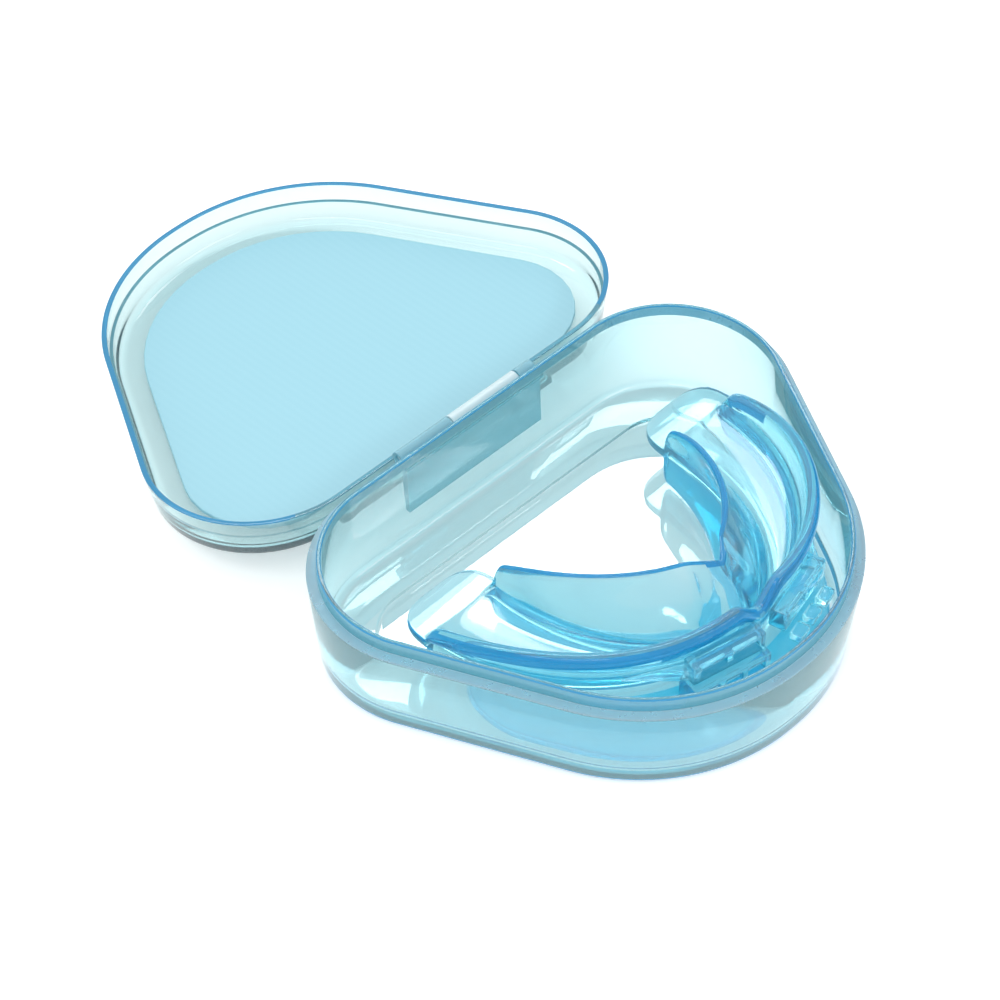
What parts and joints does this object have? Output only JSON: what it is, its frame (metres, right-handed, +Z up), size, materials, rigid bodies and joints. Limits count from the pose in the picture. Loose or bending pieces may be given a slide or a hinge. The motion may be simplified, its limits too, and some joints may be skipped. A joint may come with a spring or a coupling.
{
  "type": "mouthguard with case",
  "caption": "Clear blue two-arch moulded mouthguard standing in a D-shaped hinged storage case, shown open",
  "frame": {"origin": "centre of the open object's footprint, on the surface it rests on", "axes": "+Z up; X along the hinge; the base lies towards -Y with its rounded front, the opened lid towards +Y"},
  "size_m": [0.08, 0.1266, 0.0186],
  "materials": {
    "clear_case": "polished clear plastic, pale cyan, edges glowing blue",
    "clear_lid": "polished clear plastic, pale cyan, rim glowing saturated blue",
    "liner_film": "fine-ribbed translucent pale blue film",
    "hinge_plastic": "clear plastic plate, teal blue",
    "pin_steel": "drawn wire",
    "guard_plastic": "glossy transparent cyan elastomer, deep blue at thick edges"
  },
  "bodies": {
    "base": {"case_base": "clear_case", "hinge_leaf": "hinge_plastic", "hinge_pin": "pin_steel"},
    "lid": {"case_lid": "clear_lid", "lid_liner": "liner_film"},
    "guard": {"mouthguard": "guard_plastic"}
  },
  "joints": [
    {"name": "lid_hinge", "type": "hinge", "parent": "base", "child": "lid", "pos_m": [0, 0.00043, 0.0141], "axis": [1, 0, 0], "range_deg": [0, 185.78]},
    {"name": "guard_lift", "type": "slide", "parent": "base", "child": "guard", "axis": [0, 0, 1], "range_m": [0, 0.045]}
  ]
}
